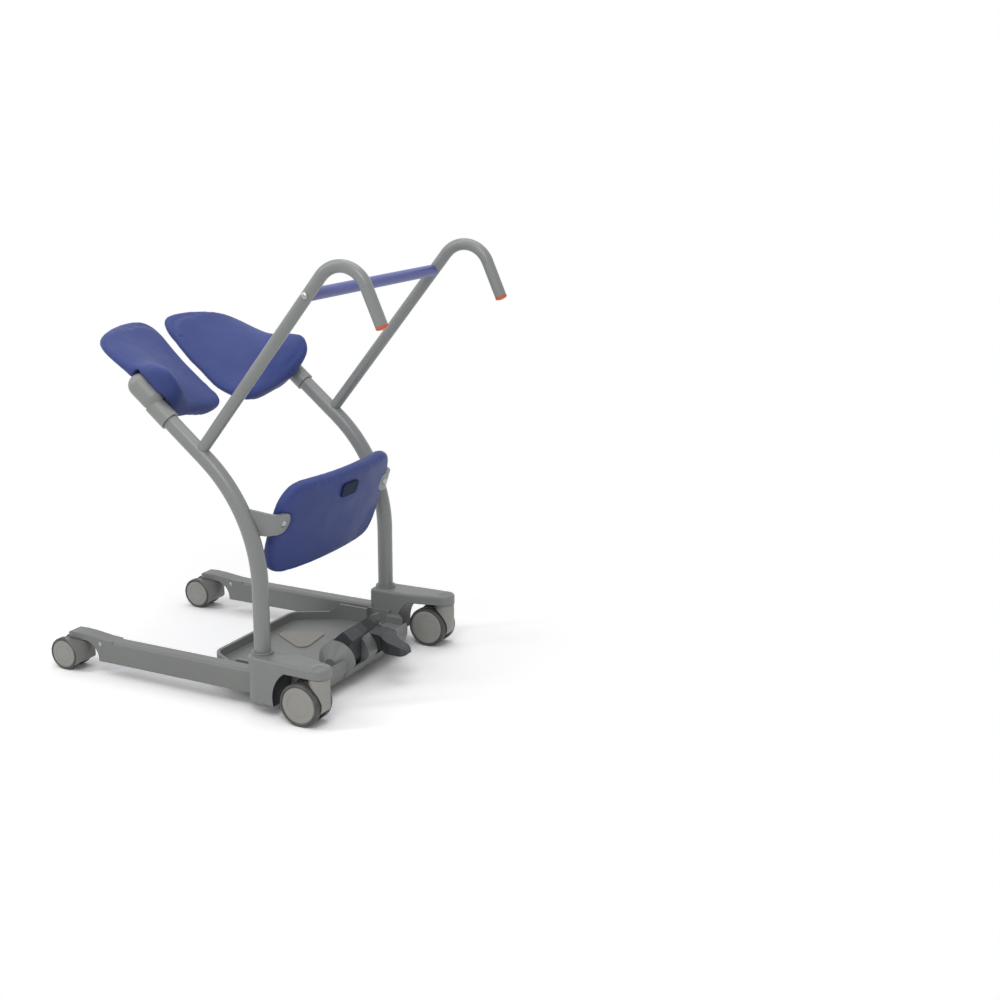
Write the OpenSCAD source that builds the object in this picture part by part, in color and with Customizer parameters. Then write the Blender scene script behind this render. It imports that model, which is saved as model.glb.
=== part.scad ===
// Standing transfer aid: swing seat halves, knee pad, hooked rails, spreading legs, twin-wheel casters

/* [Tubes] */
// outside diameter of each upright
upright_d = 38; // [32:1:42]
// outside diameter of each hand rail
rail_d = 28; // [24:1:32]
// wall thickness of the tubes
tube_wall = 2.5; // [2:0.5:4]
// distance between the two upright axes
upright_gap = 544; // [520:2:570]
// height of the uprights' lower ends inside the blocks
upright_foot = 96; // [94:1:104]
// height where the uprights start to bend
bend_z = 290; // [260:2:320]
// radius of the upright bend
bend_r = 360; // [320:2:400]
// angle of the upright bend
bend_angle = 51; // [46:1:55]
// straight run of the upright past its bend
seat_run = 122; // [105:1:140]
// distance of the rail weld past the bend
joint_run = 21; // [18:1:30]
// slope of the hand rails above level
rail_angle = 51; // [47:1:55]
// straight run of the hand rails
rail_run = 524; // [490:2:560]
// radius of the hook
hook_r = 65; // [52:1:72]
// turn of the hook
hook_angle = 117; // [105:1:125]
// straight grip past the hook
grip_run = 86; // [70:1:110]
// visible length of the grip end cap
cap_len = 8; // [5:1:14]
// length of the plugs that sit inside the tubes
plug_len = 16; // [10:1:30]

/* [Crossbar] */
// diameter of the crossbar
crossbar_d = 27; // [22:1:27]
// distance of the crossbar along the rail from its weld
crossbar_run = 472; // [440:2:500]
// diameter of the crossbar bolt shank
bolt_d = 8; // [6:1:10]
// diameter of the crossbar bolt head
bolt_head_d = 17; // [14:1:22]
// height of the domed bolt head
bolt_head_h = 5; // [3:0.5:7]
// depth of the bolt in the crossbar end
bolt_depth = 26; // [16:1:40]

/* [Knee pad] */
// width of the knee pad
knee_w = 470; // [450:2:490]
// height of the knee pad
knee_h = 242; // [230:1:254]
// thickness of the knee pad
knee_t = 36; // [32:1:44]
// forward bow of the knee pad at its middle
knee_bow = 24; // [14:1:30]
// distance of the pad's lower edge below the screws
knee_drop = 146; // [136:1:156]
// rounding of the knee pad's edge
knee_edge = 15; // [11:1:17]
// forward distance of the screws from the upright axis
knee_x = 32; // [26:1:40]
// height of the knee pad screws
knee_z = 429; // [415:1:440]
// forward lean of the knee pad
knee_lean = 18; // [14:1:22]
// distance of each screw inboard of the upright axis
screw_in = 53; // [46:1:60]
// thickness of the bent bracket plates
bracket_t = 7; // [5:0.5:9]
// radius of the bracket's free end
bracket_r = 25; // [20:1:30]
// half height of the bracket at the upright
bracket_root = 38; // [32:1:44]
// inside radius of the bracket's bend
bracket_bend = 22; // [14:1:30]
// width of the badge plate
badge_w = 66; // [50:1:80]
// height of the badge plate
badge_h = 34; // [26:1:44]
// thickness of the badge plate
badge_t = 3; // [2:0.5:4]
// height of the badge above the screws
badge_up = 46; // [30:1:60]

/* [Seat halves] */
// length of a seat half along the sloping upright
seat_l = 310; // [290:1:318]
// width of a seat half
seat_w = 307; // [296:1:314]
// thickness of a seat half
seat_t = 46; // [38:1:56]
// distance of the pad's near end past the upright's end
seat_start = 8; // [6:1:14]
// reach of the pad's outer lobe outboard of the upright axis
seat_out = 48; // [36:1:52]
// depth of the inner edge below the upright axis
seat_low = 23; // [15:1:30]
// rise of the pad from inner to outer side
seat_rise = 50; // [40:1:60]
// further rise of the outer lobe above the knuckle
lobe_rise = 70; // [60:1:76]
// fall of the pad's outer side toward its upper end
seat_fall = 16; // [8:1:20]
// lift of the pad's underside over the knuckle
under_lift = 20; // [16:1:24]
// rounding of the seat half's edge
seat_edge = 17; // [10:1:20]
// diameter of the sleeve on the upright's end
sleeve_d = 46; // [42:1:50]
// length of the sleeve
sleeve_l = 42; // [34:1:50]
// diameter of the knuckle
knuckle_d = 54; // [50:1:58]
// length of the knuckle
knuckle_l = 94; // [86:1:110]
// distance of the knuckle axis above the upright axis
knuckle_up = 8; // [4:0.5:12]
// diameter of the seat pivot pin
seat_pin_d = 20; // [16:1:26]
// reach of the seat pivot pin into the knuckle
seat_pin_l = 76; // [60:1:90]

/* [Side blocks] */
// underside height of the blocks
block_foot = 30; // [26:1:34]
// top height of the blocks
block_top = 136; // [130:1:142]
// underside height of the deck over the front caster
deck_z = 113; // [110:0.5:118]
// reach of the block behind the upright axis
block_back = 28; // [27:1:31]
// reach of the block inboard of the upright axis
block_in = 32; // [29:1:35]
// reach of the block outboard of the upright axis
block_out = 36; // [32:1:39]
// nose radius round the front caster axis
nose_r = 26; // [22:1:30]
// radius of the block's outer rear corner
block_round = 30; // [20:1:32]
// rounding of the block's top edge
block_edge = 6; // [3:0.5:8]
// radius of the arch behind the front wheels
arch_r = 76; // [70:1:80]
// diameter of the collar round the upright
collar_d = 50; // [46:1:56]
// height of the collar
collar_h = 6; // [4:0.5:9]
// radius of the domed boss on the nose
boss_r = 19; // [14:1:22]
// rise of the domed boss
boss_rise = 5; // [3:0.5:7]

/* [Legs] */
// width of a leg
leg_w = 40; // [36:1:44]
// underside height of a leg
leg_foot = 37; // [34:1:39]
// top height of a leg
leg_top = 91; // [87:1:93]
// height of the raised tail
tail_top = 99; // [96:0.5:104]
// distance of the leg pivot inboard of the upright axis
leg_in = 10; // [8:1:12]
// outward swing of a leg
leg_swing = 12; // [8:1:14]
// wall of the legs and their tails
leg_wall = 5; // [4:0.5:7]
// rounding of the leg's long edges
leg_round = 8; // [4:1:12]
// diameter of the leg pivot pin
leg_pin_d = 16; // [12:1:20]
// radius of the leg's rounded tongue
tongue_r = 18; // [16:1:18]
// lower face of the tongue
tongue_low = 41; // [39:1:45]
// upper face of the tongue
tongue_high = 75; // [70:1:78]
// height of the pivot pin's upper end
pin_top = 90; // [86:1:92]
// diameter of the tail screw's shank
tail_screw_d = 6; // [5:0.5:8]
// diameter of the tail screw's domed heads
tail_head_d = 11; // [9:0.5:14]
// height of the tail screw's domed heads
tail_head_h = 2.5; // [2:0.5:4]
// distance of the tail screw ahead of the rear caster axis
tail_screw_x = 81; // [78:1:92]
// height of the tail screw
tail_screw_z = 80; // [72:1:82]

/* [Footplate] */
// reach of the tray behind the upright axis
tray_back = 219; // [205:1:230]
// forward end of the tray ahead of the upright axis
tray_front = 32; // [28:1:36]
// half width of the tray's rear edge
tray_rear_half = 165; // [150:1:185]
// half width of the tray's side walls
tray_half = 226; // [215:1:232]
// radius of the tray's rear corners
tray_round = 40; // [30:1:60]
// wall of the tray
tray_wall = 6; // [4:0.5:8]
// underside height of the tray
tray_foot = 38; // [34:1:42]
// floor height of the tray
tray_floor = 45; // [42:1:50]
// rim height at the rear
rim_low = 67; // [60:1:72]
// rim height at the sides
rim_high = 87; // [82:1:90]
// thickness of the tread mat
mat_t = 2.5; // [2:0.5:4]
// corner radius of the tread mat
mat_round = 20; // [12:1:26]

/* [Front beam and pedals] */
// underside height of the front beam
beam_foot = 25; // [20:1:32]
// top height of the front beam
beam_top = 80; // [76:1:84]
// floor height of the wells in the front beam
well_z = 60; // [56:1:66]
// wall of the front beam
beam_wall = 5; // [4:0.5:7]
// distance of the pedal shaft ahead of the upright axis
shaft_x = 76; // [74:1:78]
// height of the pedal shaft
shaft_z = 66; // [62:1:70]
// diameter of the pedal shaft
shaft_d = 16; // [12:1:20]
// radius of the pedal hood
hood_r = 50; // [46:1:52]
// wall of the pedal hood
hood_wall = 4; // [3:0.5:6]
// half width of the hood's round barrel
hood_half = 83; // [81:1:90]
// length of the hood's sloping ends
hood_slope = 30; // [22:1:36]
// distance of a pedal from the middle
pedal_off = 50; // [49:0.5:52]
// width of a pedal arm
pedal_w = 58; // [54:1:59]
// reach of a pedal
pedal_reach = 136; // [128:1:142]
// slope of the raised pedal
pedal_up_angle = 53; // [50:1:56]
// travel of a pedal
pedal_travel = 49; // [36:1:50]

/* [Casters] */
// diameter of the front wheels
front_wheel_d = 100; // [96:1:104]
// diameter of the rear wheels
rear_wheel_d = 80; // [76:1:82]
// distance of the front caster axis ahead of the upright axis
front_axis = 162; // [156:1:168]
// distance of the front caster axis outboard of the upright axis
front_out = 18; // [15:1:20]
// distance of the rear caster axis behind the upright axis
rear_axis = 549; // [535:1:560]
// trail of the front wheels
front_trail = 36; // [30:1:38]
// trail of the rear wheels
rear_trail = 27; // [22:1:29]
// width of a front wheel
front_wheel_w = 22; // [18:1:24]
// width of a rear wheel
rear_wheel_w = 19; // [16:1:20]
// thickness of the caster body between the wheels
caster_web = 22; // [18:1:24]
// diameter of the front caster neck
front_neck_d = 48; // [42:1:50]
// diameter of the rear caster neck
rear_neck_d = 46; // [42:1:48]
// radius of the rear caster hood
rear_hood_r = 36; // [30:1:37]
// underside height of the leg tail above the rear caster
rear_deck = 82.5; // [82:0.5:85]
// diameter of the swivel stem
stem_d = 12; // [10:1:14]
// length of stem above the caster neck
stem_up = 12; // [9:1:14]
// diameter of the wheel axle
axle_d = 10; // [8:1:12]
// rounding of the tyre's shoulder
tyre_round = 7; // [4:0.5:9]

/* [Fits] */
// radial clearance of a turning shaft
run_fit = 0.05; // [0.02:0.01:0.08]
// space between faces that move past each other
face_gap = 0.5; // [0.4:0.1:0.9]
// step of a straight tube inside the wall of the bend it joins
seam = 0.2; // [0.1:0.05:0.4]
// overrun of every cut past the face it opens
overrun = 2; // [1:0.5:4]

/* [Hidden] */
$fn = 64;
tube_y = upright_gap / 2;
bend_end = [-bend_r + bend_r * cos(bend_angle), bend_z + bend_r * sin(bend_angle)];
seat_dir = [-sin(bend_angle), cos(bend_angle)];
rail_dir = [cos(rail_angle), sin(rail_angle)];
joint = bend_end + joint_run * seat_dir;
seat_end = bend_end + seat_run * seat_dir;
seat_tilt = 90 - bend_angle;
hook_mid = joint + rail_run * rail_dir + hook_r * [sin(rail_angle), -cos(rail_angle)];
grip_turn = rail_angle - hook_angle;
grip_dir = [cos(grip_turn), sin(grip_turn)];
grip_end = hook_mid + hook_r * [-sin(grip_turn), cos(grip_turn)] + (grip_run + cap_len) * grip_dir;
// turn of the hook at the crossbar, zero while the crossbar sits on the straight run
crossbar_turn = max(crossbar_run - rail_run, 0) / hook_r * 180 / PI;
crossbar_at = joint + min(crossbar_run, rail_run) * rail_dir
    + hook_r * ([sin(rail_angle), -cos(rail_angle)]
        - [sin(rail_angle - crossbar_turn), -cos(rail_angle - crossbar_turn)]);
front_most = grip_end.x + rail_d / 2 * abs(sin(grip_turn));
rear_most = -rear_axis - rear_trail - rear_wheel_d / 2;
mid_x = (front_most + rear_most) / 2;
leg_y = tube_y - leg_in;
block_y = tube_y - block_in;
leg_start = block_back + face_gap;
hood_end = hood_half + hood_slope;
corner_steps = 5;
room_sides = 12;
bracket_slope = 24;
knee_tube = asin((knee_z - bend_z) / bend_r);

tube_grey = [0.52, 0.53, 0.53];
chassis_grey = [0.48, 0.49, 0.48];
caster_grey = [0.57, 0.56, 0.54];
tyre_grey = [0.28, 0.28, 0.27];
charcoal = [0.23, 0.24, 0.26];
pad_blue = [0.29, 0.35, 0.57];
bar_blue = [0.35, 0.38, 0.63];
cap_orange = [0.85, 0.33, 0.18];
mat_grey = [0.56, 0.55, 0.52];
badge_navy = [0.1, 0.12, 0.22];
steel = [0.72, 0.73, 0.74];

// knee pad outline, shares of half width and of height, middle top to middle bottom
knee_shares = [[0, 1], [0.33, 1], [0.62, 0.995], [0.8, 0.975], [0.91, 0.905], [0.98, 0.78], [1, 0.61],
    [1, 0.42], [0.99, 0.26], [0.95, 0.13], [0.86, 0.045], [0.69, 0.01], [0.38, 0]];
// seat half outline, shares of length and of width
seat_shares = [[1, 0.75], [0.975, 0.905], [0.86, 0.985], [0.66, 1], [0.42, 1], [0.2, 0.995], [0.05, 0.92],
    [0, 0.76], [0, 0.6], [0.012, 0.46], [0.03, 0.33], [0.055, 0.225], [0.11, 0.145], [0.2, 0.11], [0.31, 0.105],
    [0.41, 0.12], [0.51, 0.135], [0.63, 0.155], [0.78, 0.205], [0.9, 0.325], [0.975, 0.53]];
// soft edge rings: share toward the middle, share of the edge rounding, share of the thickness
ring_shares = [[0.55, 0, 0], [0.25, 0, 0], [0, 1, 0], [0, 0.42, 0.08], [0, 0.1, 0.25], [0, 0, 0.45],
    [0, 0.03, 0.65], [0, 0.2, 0.84], [0, 0.55, 0.95], [0, 1, 1], [0.22, 0, 1], [0.45, 0, 1], [0.7, 0, 1]];
// rounded top edge of a side block, shares of its rounding inward and upward
edge_shares = [[0, 0], [0.12, 0.5], [0.45, 0.87], [1, 1]];
// pedal side outline, shares of the reach along and across the pad's direction
pedal_shares = [[-0.1, 0.22], [0.05, 0.3], [0.25, 0.28], [0.42, 0.255], [0.55, 0.22], [0.66, 0.18],
    [0.78, 0.145], [0.93, 0.09], [0.995, 0.03], [0.985, -0.02], [0.9, -0.045], [0.75, -0.04], [0.57, -0.02],
    [0.42, 0], [0.285, -0.05], [0.095, -0.19], [-0.07, -0.2], [-0.16, 0]];
// pedal plan, shares of the reach and of the arm's width, and share of the width that rounds each corner
pedal_plan_shares = [[-0.4, -0.5], [0.43, -0.5], [0.53, -0.69], [0.65, -0.79], [0.9, -0.79], [1.01, -0.62],
    [1.01, -0.31], [0.9, -0.14], [0.74, -0.07], [0.62, 0.1], [0.51, 0.5], [-0.4, 0.5]];
pedal_round_shares = [0, 0.1, 0.2, 0.2, 0.2, 0.2, 0.2, 0.2, 0.2, 0.2, 0.1, 0];
// forward place of the knee pad's bow and rise of its crown, shares of bow and edge
bow_share = 0.85;
crown_share = 0.3;
// thinning of a seat half at its inner edge, share of its thickness
thin_share = 0.45;
// tread mat corners, shares of the tray's reach and of its half width
mat_shares = [[-0.93, 0.275], [-0.38, 0.56], [-0.29, -0.085]];

SIDES = ["left", "right"];
CORNERS = ["front_left", "front_right", "rear_left", "rear_right"];
CASTER_PIECES = ["caster_body", "caster_stem", "caster_axle", "wheel_outer", "wheel_inner",
    "tyre_outer", "tyre_inner"];
// side outline of a caster's front hood, shares of its radius and of the neck's height
hood_shares = [[-0.6, 1], [-0.3, 1], [0.3, 1], [0.85, 0.97], [1, 0.8], [0.96, 0.6], [0.75, 0.38], [0.2, 0.22],
    [-0.3, 0.3], [-0.6, 0.6]];

function unit(v) = v / norm(v);
function smooth(t) = let (s = min(max(t, 0), 1)) s * s * (3 - 2 * s);
function is_front(c) = c == "front_left" || c == "front_right";
function is_left(c) = c == "left" || c == "front_left" || c == "rear_left";
function pick(c, front, rear) = is_front(c) ? front : rear;

// points of an arc that rounds the corner p between its neighbours a and b
function corner(a, p, b, r) = r <= 0 ? [p] : let (
    u = unit(a - p), v = unit(b - p), half = acos(u * v) / 2, c = p + unit(u + v) * r / sin(half),
    s = p + u * r / tan(half) - c, e = p + v * r / tan(half) - c,
    first = atan2(s.y, s.x), turn = (atan2(e.y, e.x) - first + 540) % 360 - 180)
    [for (k = [0:corner_steps]) c + r * [cos(first + turn * k / corner_steps),
        sin(first + turn * k / corner_steps)]];
function rounded(p, r) = [for (i = [0:len(p) - 1])
    each corner(p[(i + len(p) - 1) % len(p)], p[i], p[(i + 1) % len(p)], r[i])];

// closed smooth curve through points, with steps on each span
function curve(p, steps) = let (n = len(p)) [for (i = [0:n - 1]) for (k = [0:steps - 1])
    let (t = k / steps, a = p[(i + n - 1) % n], b = p[i], c = p[(i + 1) % n], d = p[(i + 2) % n])
    (2 * b + (c - a) * t + (2 * a - 5 * b + 4 * c - d) * t * t + (3 * b - a - 3 * c + d) * t * t * t) / 2];
function middle(p) = [for (k = [0:len(p[0]) - 1]) [for (q = p) q[k]] * [for (q = p) 1] / len(p)];

module placed() translate([-mid_x, 0, 0]) children();
module sided(c) mirror([0, is_left(c) ? 0 : 1, 0]) children();
module along_y(x, z) translate([x, 0, z]) rotate([90, 0, 0]) children();
module at_corner(c) sided(c)
    translate([pick(c, front_axis, -rear_axis), pick(c, tube_y + front_out, leg_y), 0]) children();
module at_seat(c) sided(c)
    translate([seat_end.x, tube_y, seat_end.y]) rotate([0, seat_tilt, 0]) rotate([0, 0, 180]) children();
module at_knee() translate([knee_x, 0, knee_z]) rotate([0, knee_lean, 0]) children();

// closed soft solid from rings of points, lowest ring first
module pillow(rings) {
    n = len(rings[0]);
    m = len(rings);
    polyhedron([for (r = rings) each r, middle(rings[0]), middle(rings[m - 1])],
        [for (k = [0:m - 2]) for (i = [0:n - 1]) let (j = (i + 1) % n) each
            [[k * n + i, k * n + n + i, k * n + n + j], [k * n + i, k * n + n + j, k * n + j]],
        for (i = [0:n - 1]) let (j = (i + 1) % n) each
            [[m * n, i, j], [m * n + 1, (m - 1) * n + j, (m - 1) * n + i]]]);
}

// straight length of tube, its ends lapped into the walls of the bends beside it
module tube(d, run, before, after) translate([0, 0, -before]) difference() {
    cylinder(d = d - seam * 2, h = run + before + after);
    translate([0, 0, -overrun])
        cylinder(d = d - tube_wall * 2 + seam * 2, h = run + before + after + overrun * 2);
}
module tube_bend(d, r, angle) rotate([90, 0, 0]) rotate_extrude(angle = angle) translate([r, 0])
    difference() {
        circle(d = d);
        circle(d = d - tube_wall * 2);
    }
module at_rail() translate([joint.x, tube_y, joint.y]) rotate([0, 90 - rail_angle, 0]) children();
module at_grip() translate([hook_r, 0, rail_run]) rotate([0, hook_angle, 0])
    translate([-hook_r, 0, 0]) children();
module at_bend_end() translate([bend_end.x, tube_y, bend_end.y]) rotate([0, -bend_angle, 0]) children();
module at_hook() translate([hook_r, 0, rail_run]) rotate([0, hook_angle - 180, 0]) children();
module bend_solid(d, r, turn) rotate([90, 0, 0]) rotate_extrude(angle = turn) translate([r, 0]) circle(d = d);
module upright_bend() translate([-bend_r, tube_y, bend_z]) bend_solid(upright_d, bend_r, bend_angle);

module upright(c) color(tube_grey) placed() sided(c) {
    translate([0, tube_y, upright_foot]) tube(upright_d, bend_z - upright_foot, 0, overrun);
    translate([-bend_r, tube_y, bend_z]) tube_bend(upright_d, bend_r, bend_angle);
    at_bend_end() tube(upright_d, seat_run, overrun, 0);
}

module rail(c) color(tube_grey) placed() sided(c) difference() {
    union() {
        difference() {
            at_rail() tube(rail_d, rail_run, 0, overrun);
            at_bend_end() cylinder(d = upright_d, h = seat_run);
        }
        at_rail() at_hook() tube_bend(rail_d, hook_r, hook_angle);
        at_rail() at_grip() tube(rail_d, grip_run, overrun, 0);
    }
    translate([0, tube_y, 0]) along_y(crossbar_at.x, crossbar_at.y)
        cylinder(d = bolt_d + run_fit * 2, h = rail_d + overrun, center = true);
}

module rail_cap(c) color(cap_orange) placed() sided(c) at_rail() at_grip() {
    translate([0, 0, grip_run - plug_len]) cylinder(d = rail_d - tube_wall * 2, h = plug_len + overrun);
    translate([0, 0, grip_run]) intersection() {
        cylinder(d = rail_d, h = cap_len);
        translate([0, 0, cap_len - rail_d]) sphere(r = rail_d);
    }
}

module crossbar() color(bar_blue) placed() difference() {
    along_y(crossbar_at.x, crossbar_at.y) cylinder(d = crossbar_d, h = upright_gap, center = true);
    for (c = SIDES) sided(c) {
        at_rail() cylinder(d = rail_d, h = rail_run);
        at_rail() at_hook() bend_solid(rail_d + seam * 2, hook_r, hook_angle);
        translate([0, tube_y - rail_d / 2 - bolt_depth, 0]) along_y(crossbar_at.x, crossbar_at.y)
            rotate([180, 0, 0]) cylinder(d = bolt_d, h = rail_d + bolt_depth);
    }
}

module dome(r, rise) intersection() {
    cylinder(r = r, h = rise);
    translate([0, 0, rise - (r * r + rise * rise) / rise / 2]) sphere(r = (r * r + rise * rise) / rise / 2);
}

module crossbar_bolts() color(steel) placed() for (c = SIDES) sided(c)
    translate([crossbar_at.x, tube_y + rail_d / 2, crossbar_at.y]) rotate([-90, 0, 0]) {
        dome(bolt_head_d / 2, bolt_head_h);
        translate([0, 0, -rail_d - bolt_depth]) cylinder(d = bolt_d, h = rail_d + bolt_depth);
    }

// plan of the bent bracket plate and its front view, both in the knee pad's frame
function bracket_plan() = let (tip = tube_y - screw_in - bracket_r, knee = tube_y - screw_in + bracket_r,
    root = [-knee_x - bracket_root, tube_y], out = bracket_t * [cos(bracket_slope), sin(bracket_slope)])
    rounded([[0, tip], [0, knee + bracket_t / 2], root + out, root, [-bracket_t, knee], [-bracket_t, tip]],
        [0, bracket_bend + bracket_t, 0, 0, bracket_bend, 0]);
module bracket_face(more) {
    mid = tube_y - screw_in;
    translate([0, mid, 0]) rotate([0, 90, 0])
        cylinder(r = bracket_r + more, h = knee_t * 4, center = true);
    rotate([90, 0, 90]) translate([0, 0, -knee_t * 2]) linear_extrude(knee_t * 4)
        polygon([[mid, -bracket_r - more], [mid + bracket_r, -bracket_r - more], [tube_y, -bracket_root],
            [tube_y, bracket_root * 0.55], [mid + bracket_r, bracket_r + more], [mid, bracket_r + more]]);
}

module knee_bracket(c) color(tube_grey) placed() sided(c) difference() {
    at_knee() intersection() {
        translate([0, 0, -bracket_root]) linear_extrude(bracket_root * 2) polygon(bracket_plan());
        bracket_face(0);
    }
    upright_bend();
    translate([bend_r * cos(knee_tube) - bend_r, tube_y - upright_d / 4, knee_z]) rotate([0, -knee_tube, 0])
        translate([-knee_h, 0, -knee_h / 2]) cube([knee_h, upright_d, knee_h]);
    at_knee() translate([0, tube_y - screw_in, 0]) rotate([0, 90, 0])
        cylinder(d = bolt_d, h = knee_t, center = true);
}

function knee_half() = [for (s = knee_shares) [s.x * knee_w / 2, s.y * knee_h - knee_drop]];
function knee_outline() = let (h = knee_half()) curve([each h, [0, -knee_drop],
    for (i = [len(h) - 1:-1:1]) [-h[i].x, h[i].y]], 2);
function knee_front(y) = knee_bow * (bow_share - pow(y * 2 / knee_w, 2));
function knee_crown(s) = knee_edge * crown_share * smooth(s);
function soft(p, mid, s, edge) = let (q = p + (mid - p) * s.x) q + unit(mid - p) * edge * s.y;
module knee_pad() color(pad_blue) placed() at_knee() difference() {
    pillow([for (s = ring_shares) [for (p = knee_outline())
        let (q = soft(p, [0, -knee_drop / 8], s, knee_edge))
        [knee_front(q.x) - knee_t + knee_t * s.z + (s.z == 1 ? knee_crown(s.x) : 0), q.x, q.y]]]);
    for (c = SIDES) sided(c) {
        translate([-bracket_t, 0, 0]) intersection() {
            bracket_face(face_gap * 2);
            union() {
                translate([0, 0, -knee_h / 2]) cube([knee_t, knee_w, knee_h]);
                translate([-bracket_t / 2, knee_w / 2 - bracket_t, -knee_h / 2]) cube([knee_t, knee_w, knee_h]);
            }
        }
        translate([0, tube_y - screw_in, 0]) rotate([0, -90, 0])
            cylinder(d = bolt_d, h = knee_t - bracket_t);
    }
    badge_block(overrun);
}

module badge_block(more) translate([knee_front(0) + knee_crown(1) - badge_t / 2, 0, badge_up])
    rotate([90, 0, 90]) linear_extrude(badge_t + more) polygon(rounded(
        [[-badge_w, -badge_h] / 2, [badge_w, -badge_h] / 2, [badge_w, badge_h] / 2, [-badge_w, badge_h] / 2],
        [for (k = [0:3]) badge_h / 4]));
module badge_plate() color(badge_navy) placed() at_knee() badge_block(0);

module knee_screws() color(steel) placed() at_knee() for (c = SIDES) sided(c)
    translate([0, tube_y - screw_in, 0]) rotate([0, 90, 0]) {
        dome(bolt_head_d / 2, bolt_head_h);
        translate([0, 0, bracket_t - knee_t]) cylinder(d = bolt_d, h = knee_t - bracket_t);
    }

module knuckle() {
    start = sleeve_l - face_gap + knuckle_d / 2;
    end = sleeve_l + knuckle_l - knuckle_d / 2;
    for (x = [start, end]) translate([x, 0, knuckle_up]) sphere(d = knuckle_d);
    translate([start, 0, knuckle_up]) rotate([0, 90, 0]) cylinder(d = knuckle_d, h = end - start);
}

// flat-sided room for the knuckle and its sleeve under a seat half
module knuckle_room() {
    wide = 1 / cos(180 / room_sides);
    translate([sleeve_l - face_gap, 0, knuckle_up]) rotate([0, 90, 0])
        cylinder(d = knuckle_d * wide, h = knuckle_l + face_gap, $fn = room_sides);
    rotate([0, 90, 0])
        cylinder(d = (sleeve_d + face_gap) * wide, h = sleeve_l + knuckle_d / 4, $fn = room_sides);
}

module seat_arm(c) color(chassis_grey) placed() at_seat(c) difference() {
    union() {
        translate([face_gap, 0, 0]) rotate([0, 90, 0]) cylinder(d = sleeve_d, h = sleeve_l + knuckle_d / 4);
        knuckle();
    }
    rotate([0, 90, 0]) cylinder(d = seat_pin_d + run_fit * 2, h = seat_pin_l + face_gap);
}

module seat_pivot_pins() color(steel) placed() for (c = SIDES) at_seat(c) rotate([0, 90, 0]) {
    cylinder(d = seat_pin_d, h = seat_pin_l);
    translate([0, 0, -plug_len * 2]) cylinder(d = upright_d - tube_wall * 2, h = plug_len * 2);
}

function seat_outline() = curve([for (s = seat_shares)
    [seat_start + s.x * seat_l, s.y * seat_w - seat_out]], 3);
function along(p) = (p.x - seat_start) / seat_l;
function across(p) = (p.y + seat_out) / seat_w;
// the pad flattens toward both ends
function seat_form(p) = 0.5 + smooth(along(p) * 3.2) * smooth(2 - along(p) * 2) / 2;
function seat_base(p) = (seat_rise * smooth(1.58 - across(p) * 1.58) - seat_low) * seat_form(p)
    - seat_fall * smooth(along(p) * 2.2 - 0.75) * smooth(1.58 - across(p) * 1.58);
function seat_lobe(p) = lobe_rise * exp(-pow(max(along(p) - 0.2, 0) / 0.2, 2))
    * smooth(1.45 - across(p) * 2.9);
function seat_under(p) = seat_base(p) - seat_t * (1 - thin_share * smooth(across(p) * 2.5 - 1.5))
    + under_lift * smooth(1.9 - across(p) * 4.9);
module seat_pad(c) color(pad_blue) placed() at_seat(c) difference() {
    pillow([for (s = ring_shares) [for (p = seat_outline())
        let (q = soft(p, [seat_start + seat_l * 0.5, seat_w * 0.55 - seat_out], s, seat_edge))
        [q.x, q.y, seat_under(q) + (seat_base(q) + seat_lobe(q) - seat_under(q)) * s.z]]]);
    knuckle_room();
}

function block_plan(inset) = let (nose = front_axis + nose_r - inset, low = block_y + inset,
    out = tube_y + front_out + nose_r - inset, back = inset - block_back)
    rounded([[back, low], [front_axis / 2, low], [nose, tube_y + front_out - nose_r + inset], [nose, out],
        [back, tube_y + block_out - inset]], [nose_r / 4, front_axis / 3, nose_r - inset, nose_r - inset,
        block_round - inset]);

module side_block(c) color(chassis_grey) placed() sided(c) difference() {
    union() {
        translate([0, 0, block_foot]) linear_extrude(block_top - block_edge - block_foot)
            polygon(block_plan(0));
        hull() for (s = edge_shares) translate([0, 0, block_top - block_edge * 2])
            linear_extrude(block_edge + s.y * block_edge) polygon(block_plan(s.x * block_edge));
        translate([0, tube_y, block_top - block_edge]) cylinder(d = collar_d, h = block_edge + collar_h);
        translate([front_axis, tube_y + front_out, block_top]) dome(boss_r, boss_rise);
    }
    translate([0, tube_y, upright_foot]) cylinder(d = upright_d, h = block_top);
    intersection() {
        translate([0, 0, -overrun]) cube([front_axis * 2, upright_gap, deck_z + overrun]);
        translate([front_axis - front_trail, 0, front_wheel_d / 2]) {
            rotate([-90, 0, 0]) cylinder(r = arch_r, h = upright_gap);
            translate([0, 0, -front_wheel_d]) cube([front_axis, upright_gap, front_wheel_d * 2]);
        }
    }
    translate([front_axis, tube_y + front_out, deck_z - overrun])
        cylinder(d = stem_d + run_fit * 2, h = stem_up + face_gap * 2 + overrun);
    translate([0, leg_y, 0]) {
        translate([0, 0, block_foot - overrun]) cylinder(d = leg_pin_d, h = pin_top - block_foot + overrun);
        translate([0, 0, tongue_low - face_gap]) {
            cylinder(r = tongue_r + face_gap * 2, h = tongue_high - tongue_low + face_gap * 2);
            translate([-block_back * 2, -block_in, 0])
                cube([block_back * 2, block_in + block_round, tongue_high - tongue_low + face_gap * 2]);
        }
        difference() {
            translate([-block_back * 2, -block_in * 2, 0])
                cube([block_back * 2, block_in * 2 + block_round, leg_top + face_gap]);
            translate([0, 0, -overrun]) cylinder(r = block_back, h = leg_top + overrun * 2);
        }
    }
}
module leg_pivot_pins() color(steel) placed() for (c = SIDES) sided(c)
    translate([0, leg_y, block_foot]) cylinder(d = leg_pin_d, h = pin_top - block_foot);

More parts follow.
